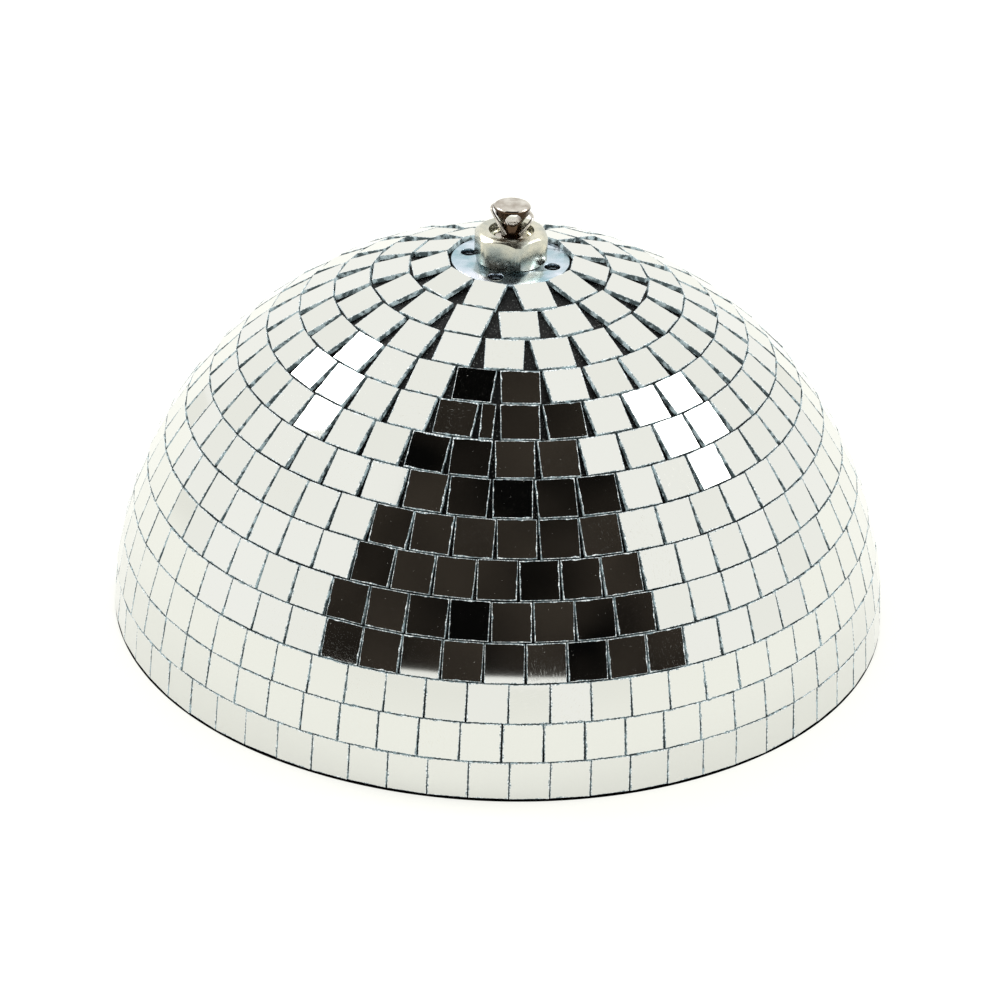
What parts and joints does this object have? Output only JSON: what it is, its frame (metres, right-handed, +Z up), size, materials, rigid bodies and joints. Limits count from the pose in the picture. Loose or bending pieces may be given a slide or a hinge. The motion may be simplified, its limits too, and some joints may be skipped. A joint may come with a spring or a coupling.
{
  "type": "half mirror ball",
  "caption": "Half mirror ball: a plastic dome faced with rows of small flat glass mirror tiles, with a bolted pole plate, nut, swivel pin and split ring.",
  "frame": {"origin": "centre of the dome's open rim, in the plane that it stands on", "axes": "+Z up the pole axis towards the swivel pin; -Y is the side the picture is taken from"},
  "size_m": [0.2002, 0.2003, 0.1117],
  "materials": {
    "core_plastic": "moulded black ABS",
    "adhesive": "cured black contact adhesive",
    "mirror_tile": "silvered float glass with ground edges",
    "zinc_plate": "bright zinc plated, blue passivated",
    "passivated_nut": "zinc plated, yellowish passivation",
    "nickel_plate": "bright nickel plated",
    "brass_washer": "turned brass",
    "spring_steel": "blackened spring steel"
  },
  "bodies": {
    "dome": {"core_shell": "core_plastic", "adhesive_coat": "adhesive", "pole_plate": "zinc_plate", "backing_plate": "zinc_plate", "lock_washer": "zinc_plate", "outer_nut": "passivated_nut", "inner_nut": "passivated_nut", "hollow_stud": "passivated_nut", "tile_row_01": "mirror_tile", "tile_row_02": "mirror_tile", "tile_row_03": "mirror_tile", "tile_row_04": "mirror_tile", "tile_row_05": "mirror_tile", "tile_row_06": "mirror_tile", "tile_row_07": "mirror_tile", "tile_row_08": "mirror_tile", "tile_row_09": "mirror_tile", "tile_row_10": "mirror_tile", "tile_row_11": "mirror_tile", "tile_row_12": "mirror_tile", "tile_row_13": "mirror_tile", "tile_row_14": "mirror_tile"},
    "pin": {"swivel_pin": "nickel_plate", "thrust_washer": "brass_washer", "retaining_clip": "spring_steel"},
    "ring": {"split_ring": "nickel_plate"}
  },
  "joints": [
    {"name": "pin_swivel", "type": "hinge", "parent": "dome", "child": "pin", "pos_m": [0, 0, 0.0967], "axis": [0, 0, 1], "continuous": true},
    {"name": "ring_turn", "type": "hinge", "parent": "pin", "child": "ring", "pos_m": [0, 0, 0.1093], "axis": [0, 0, 1], "continuous": true}
  ]
}
